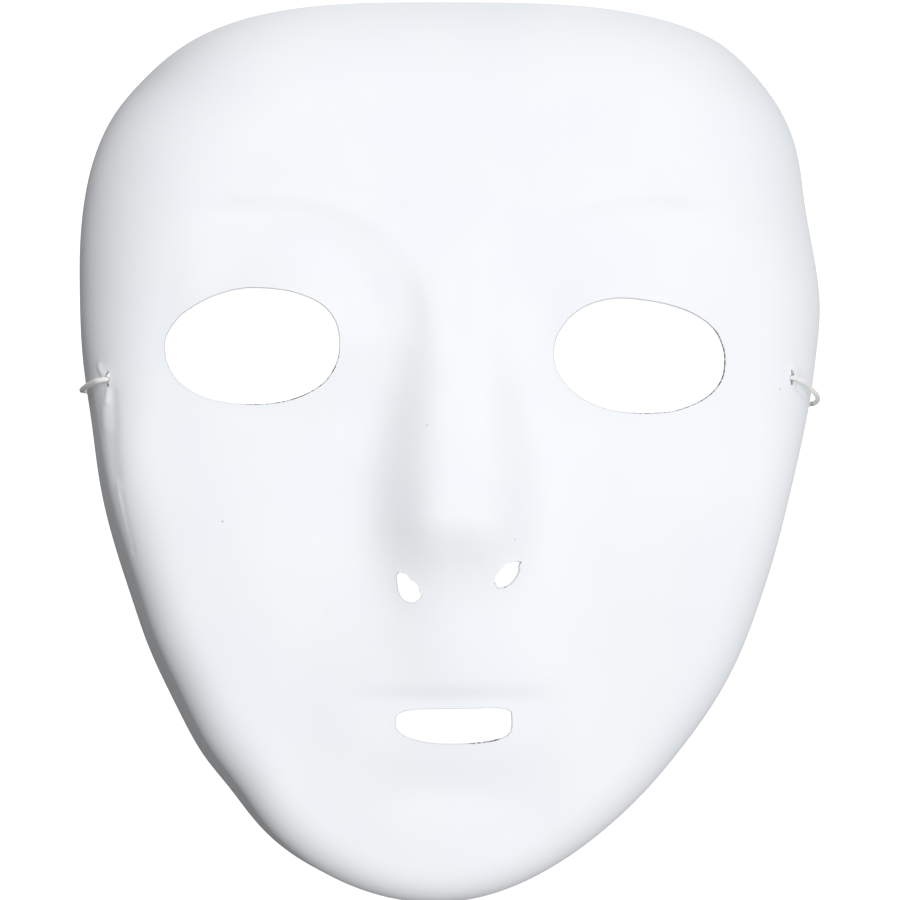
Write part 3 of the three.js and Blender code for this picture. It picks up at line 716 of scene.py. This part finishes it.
coarse = hexagonal_grid(MESH_SPACING, reaches.max())
fine = hexagonal_grid(FINE_SPACING, reaches.max())
fine = fine[in_fine_place(fine)]
coarse = coarse[~in_fine_place(coarse)]
all_outlines = np.vstack(outlines)
kept = []
for grid, spacing in ((coarse, MESH_SPACING), (fine, FINE_SPACING)):
    grid = grid[inside(outlines[0], grid)]
    for outline in outlines[1:]:
        grid = grid[~inside(outline, grid)]
    kept.append(grid[nearest(grid, all_outlines) > spacing * OUTLINE_ROOM])
flat_points = np.vstack([all_outlines, *kept])
loops = []
start = 0
for outline in outlines:
    loops.append(np.arange(start, start + len(outline)))
    start += len(outline)
borders = [(int(a), int(b)) for loop in loops for a, b in zip(loop, np.roll(loop, -1))]
drawn_points, _, drawn_faces, came_from, _, _ = delaunay_2d_cdt(
    flat_points.tolist(), borders, [], 0, MERGE_WITHIN)

found_at = {source: index for index, sources in enumerate(came_from) for source in sources}
loops = [np.array([found_at[int(point)] for point in loop]) for loop in loops]
flat_points = np.array([tuple(point) for point in drawn_points])
triangles = np.array(drawn_faces)
middles = flat_points[triangles].mean(axis=1)
wanted = inside(outlines[0], middles)
for outline in outlines[1:]:
    wanted &= ~inside(outline, middles)
triangles = triangles[wanted]
front = lifted(flat_points)

# Moulding and handling marks
# What the sheet has beyond its form: it is a little uneven, its cut edges stand up slightly, and it is
# drawn out and creased at the slits, where the elastic pulls on the warm-formed wall.
UNEVEN = Sizes(depth=0.2, across=8.7, up=11.3, sway=13)
CUT_LIP = Sizes(rise=0.09, reach=0.9)
# The marks die out over this stretch before the trimmed edge.
EDGE_CALM = 4
# Ridges and furrows: a line on the face in plan, half its width, and its height or depth.
MARKS = [
    Sizes(line=[(-82.0, 19.0), (-80.9, 16.8)], half_width=1.0, height=0.45),
    Sizes(line=[(-80.0, 13.2), (-80.2, 11.2)], half_width=0.9, height=0.4),
    Sizes(line=[(-81.0, 11.0), (-80.9, 6.0)], half_width=1.8, height=0.25),
    Sizes(line=[(-78.9, 12.5), (-78.6, 6.0)], half_width=1.8, height=-0.3),
    Sizes(line=[(-78.9, 3.0), (-78.0, -6.0)], half_width=2.4, height=-0.28),
    Sizes(line=[(-78.0, -7.5), (-76.3, -15.0), (-74.5, -22.0)], half_width=0.8, height=0.13),
    Sizes(line=[(-76.8, -10.5), (-75.5, -17.5), (-73.9, -23.8)], half_width=0.9, height=-0.17),
    Sizes(line=[(78.2, 18.9), (79.2, 17.8)], half_width=0.8, height=0.3),
    Sizes(line=[(79.4, 14.2), (81.9, 11.8), (83.2, 10.4)], half_width=0.7, height=-0.45),
]


def surface_normals(points):
    first, second, third = (points[triangles[:, corner]] for corner in range(3))
    facing = np.cross(second - first, third - first)
    summed = np.zeros_like(points)
    for corner in range(3):
        np.add.at(summed, triangles[:, corner], facing)
    return summed / np.linalg.norm(summed, axis=1)[:, None]


def mark_height(mark):
    """How far a ridge or furrow moves each point of the front."""
    plan = np.array(mark.line)
    line = np.column_stack([plan, face_height(plan[:, 0], plan[:, 1])])
    gap = np.full(len(front), np.inf)
    for begin, finish in zip(line, line[1:]):
        along = finish - begin
        part = np.clip((front - begin) @ along / (along @ along), 0, 1)
        gap = np.minimum(gap, np.linalg.norm(front - begin - part[:, None] * along, axis=1))
    return mark.height * bell(gap / mark.half_width)


sideways = np.sin(front[:, 0] / UNEVEN.across + np.sin(front[:, 1] / UNEVEN.sway))
upwards = np.sin(front[:, 1] / UNEVEN.up + np.cos(front[:, 0] / UNEVEN.sway))
unevenness = UNEVEN.depth * (sideways * upwards - 1) / 2
from_cut = nearest(flat_points, np.vstack(outlines[1:]))
marks = unevenness + CUT_LIP.rise * bell(from_cut / CUT_LIP.reach) + sum(mark_height(mark) for mark in MARKS)
from_edge = nearest(flat_points, outlines[0])
marks = marks * fade(from_edge, 0, EDGE_CALM)
front = front + surface_normals(front) * marks[:, None]
outward = surface_normals(front)
back = front - outward * WALL.thickness
back[:, 2] = np.maximum(0, back[:, 2])

# Each cut edge is rounded over: two more rows of points stand a little out between front and back.
SHOULDER_PART = 0.25
ROUGH_SEED = 4
SHARP_FROM = 42
rough = np.random.default_rng(ROUGH_SEED)
points = [front, back]
faces = [tuple(face) for face in triangles.tolist()]
faces += [(a + len(front), c + len(front), b + len(front)) for a, b, c in triangles.tolist()]
cut_from = len(faces)
count = 2 * len(front)
for loop in loops:
    ahead = np.roll(front[loop], -1, axis=0) - np.roll(front[loop], 1, axis=0)
    away = np.cross(ahead, outward[loop])
    away = away / np.linalg.norm(away, axis=1)[:, None]
    out = away * (CUT_ROUNDING + rough.uniform(-CUT_ROUGHNESS, CUT_ROUGHNESS, (len(loop), 1)))
    shoulder = outward[loop] * WALL.thickness * SHOULDER_PART
    rows = [front[loop] + out - shoulder, back[loop] + out + shoulder]
    points += [np.maximum(row, (-np.inf, -np.inf, 0)) for row in rows]
    ring = len(loop)
    lines = [loop, count + np.arange(ring), count + ring + np.arange(ring), loop + len(front)]
    for upper, lower in zip(lines, lines[1:]):
        for here in range(ring):
            beside = (here + 1) % ring
            corners = (upper[here], lower[here], lower[beside], upper[beside])
            faces.append(tuple(int(value) for value in corners))
    count += 2 * ring

shell_mesh = bpy.data.meshes.new("moulded_face")
shell_mesh.from_pydata((np.vstack(points) * MM).tolist(), [], faces)
kinds = np.zeros(len(faces), int)
kinds[len(triangles):] = 1
kinds[cut_from:] = 2
shell_mesh.polygons.foreach_set("material_index", kinds)
shell_mesh.shade_smooth()
shell_mesh.set_sharp_from_angle(angle=math.radians(SHARP_FROM))
moulded_face = bpy.data.objects.new("moulded_face", shell_mesh)
bpy.context.scene.collection.objects.link(moulded_face)
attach(moulded_face, "root")
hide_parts("mask_shell")

# White plastic
# The sheet is coloured right through, a very slightly cool white. Its outside has a low even gloss, its
# inside is duller from the mould, and the cut edges are rough, dark in their ragged places at the nostrils
# and the mouth, with painted shade on the cut faces at the eye holes and the slits.
SPECKS = [(-53.4, -16.4), (-7.0, 5.5), (13.2, -20.4), (74.9, 13.9)]
SPECK_SIZE = 0.32
# The part of the reach of a speck, or of a dark place on the cut edges, within which it is full.
FULL_PART = 0.4
# Dark places on the cut edges, each a place and its reach: at the eye holes and the slits they are painted
# shade on the cut faces, and at the nostrils and the mouth they are the cut's dark ragged bits.
CUT_SHADE_AND_DARK_BITS = [
    (-11.5, -28.2, 1.1), (-8.8, -30.6, 1.2), (-7.5, -33.7, 1.1),
    (14.5, -25.2, 1.1), (8.8, -31.0, 1.2), (11.3, -31.8, 0.9),
    (11.9, -65.8, 0.8), (4.5, -66.5, 2.6), (8.2, -66.4, 2.6), (12.8, -58.6, 1.2),
    # These are painted shade: on the cut faces at the eye holes' lower right, and inside the slits.
    (-30.0, 14.0, 11.0), (-42.0, 10.5, 9.0), (56.0, 12.0, 10.0), (62.0, 22.0, 9.0), (46.0, 8.5, 9.0),
    (-79.4, 16.2, 3.0), (78.6, 16.4, 3.0),
]


def spot(finish, place, x, y, size):
    """1 in the middle of a small round place on the face, and 0 from its edge on."""
    height = float(face_height(np.array([x]), np.array([y]))[0])
    where = (x * MM, y * MM, height * MM)
    gap = finish.node("ShaderNodeVectorMath", {"operation": "DISTANCE"}, {0: place, 1: where}, 1)
    return gap.between(size * MM, size * FULL_PART * MM)


def outside_finish():
    """Low even gloss, with faint clouds in the white, dull handling marks and a few specks."""
    material, finish, place = new_finish("white_satin_plastic")
    clouds = place.noise(34).between(0.35, 0.65)
    white = clouds.blend((0.9, 0.92, 0.945, 1), (0.875, 0.9, 0.935, 1))
    specks = sum(spot(finish, place, x, y, SPECK_SIZE) for x, y in SPECKS)
    colour = (specks * 0.55).blend(white, (0.25, 0.24, 0.23, 1))
    handled = place.noise(11, 4.0).between(0.5, 0.75)
    grain = place.noise(0.9, 3.0) * 0.6 + place.noise(5.5, 2.0)
    skin = finish.node("ShaderNodeBump", None, {"Height": grain, "Distance": 0.03 * MM, "Strength": 0.35})
    roughness = 0.58 + handled * 0.1
    close_finish(finish, Base_Color=colour, Roughness=roughness, Normal=skin, Specular_IOR_Level=0.35)
    return material


def inside_finish():
    """The side that lay on the mould: duller and a little greyer, with a pebbled skin."""
    material, finish, place = new_finish("dull_white_plastic")
    clouds = place.noise(20).between(0.35, 0.65)
    white = clouds.blend((0.87, 0.885, 0.9, 1), (0.83, 0.85, 0.87, 1))
    pebbles = place.noise(1.6, 3.0)
    skin = finish.node("ShaderNodeBump", None, {"Height": pebbles, "Distance": 0.06 * MM, "Strength": 0.5})
    close_finish(finish, Base_Color=white, Roughness=0.58 + clouds * 0.1, Normal=skin)
    return material


def cut_finish():
    """Sheared plastic: rough and white, dark in the ragged bits where the knife tore it, with painted shade
    on the cut faces at the eye holes and the slits.
    """
    material, finish, place = new_finish("cut_plastic_edge")
    shade_and_dark_bits = sum(spot(finish, place, x, y, size) for x, y, size in CUT_SHADE_AND_DARK_BITS)
    patchy = place.noise(0.7).between(0.35, 0.6)
    # The dark colour is painted shade at the eye holes and the slits, and the dark ragged bits at the
    # nostrils and the mouth.
    colour = (shade_and_dark_bits * patchy).blend((0.86, 0.88, 0.9, 1), (0.03, 0.03, 0.035, 1))
    torn = finish.node("ShaderNodeBump", None, {"Height": place.noise(0.35), "Distance": 0.08 * MM})
    close_finish(finish, Base_Color=colour, Roughness=0.7 + patchy * 0.1, Normal=torn)
    return material


for finished in (outside_finish(), inside_finish(), cut_finish()):
    shell_mesh.materials.append(finished)

# Floor and light
# A plain white floor and soft studio light: a pale surround that is dark only low down on the left, and a
# broad lamp nearly overhead, a little towards the forehead. The floor shows as white paper does, and throws
# no light on the mask. Sizes are in metres here, and directions in degrees.
FLOOR_HALF = 6.0
LAMP_DISTANCE = 1.6
LAMP_TURN = 90.0
LAMP_TILT = 9.5
LAMP_SIZE = 0.8
LAMP_POWER = 8.3
SURROUND = 0.74
SURROUND_DARK = 0.01
# The way from the dark part of the surround to the bright part, and where along it the change lies.
BRIGHT_TURN = 31.0
BRIGHT_RISE = 35.0
DARK_TO = -0.43
BRIGHT_FROM = -0.26

floor_mesh = bpy.data.meshes.new("floor")
corners = [(x * FLOOR_HALF, y * FLOOR_HALF, 0) for x, y in ((-1, -1), (1, -1), (1, 1), (-1, 1))]
floor_mesh.from_pydata(corners, [], [(0, 1, 2, 3)])
floor = bpy.data.objects.new("floor", floor_mesh)
bpy.context.scene.collection.objects.link(floor)
floor_material, floor_finish, _ = new_finish("pale_floor")
close_finish(
    floor_finish, Base_Color=(0.4, 0.4, 0.4, 1), Roughness=0.9,
    Emission_Color=(1, 1, 1, 1), Emission_Strength=0.9)
floor_mesh.materials.append(floor_material)
floor.visible_diffuse = False
floor.visible_glossy = False


def direction_at(turn, rise):
    """A direction by its turn about the vertical and its rise over the floor, in degrees."""
    turn = math.radians(turn)
    rise = math.radians(rise)
    return np.array([math.cos(turn) * math.cos(rise), math.sin(turn) * math.cos(rise), math.sin(rise)])


lamp_data = bpy.data.lights.new("lamp", "AREA")
lamp_data.shape = "DISK"
lamp_data.size = LAMP_SIZE
lamp_data.energy = LAMP_POWER
lamp = bpy.data.objects.new("lamp", lamp_data)
lamp.location = (direction_at(LAMP_TURN, 90 - LAMP_TILT) * LAMP_DISTANCE).tolist()
lamp.rotation_euler = lamp.location.to_track_quat("Z", "Y").to_euler()
bpy.context.scene.collection.objects.link(lamp)

world = bpy.data.worlds.new("surround")
world.use_nodes = True
world.node_tree.nodes.clear()
around = Shade(world.node_tree)
outward_direction = around.node("ShaderNodeTexCoord")
toward_bright = tuple(direction_at(BRIGHT_TURN, BRIGHT_RISE))
brightness = around.node(
    "ShaderNodeVectorMath", {"operation": "DOT_PRODUCT"}, {0: outward_direction, 1: toward_bright}, 1)
surround = brightness.between(DARK_TO, BRIGHT_FROM).blend(
    (SURROUND_DARK, SURROUND_DARK, SURROUND_DARK, 1), (SURROUND, SURROUND, SURROUND, 1))
background = around.node("ShaderNodeBackground", None, {"Color": surround})
around.node("ShaderNodeOutputWorld", None, {"Surface": background})
bpy.context.scene.world = world
bpy.context.scene.view_settings.view_transform = "Standard"
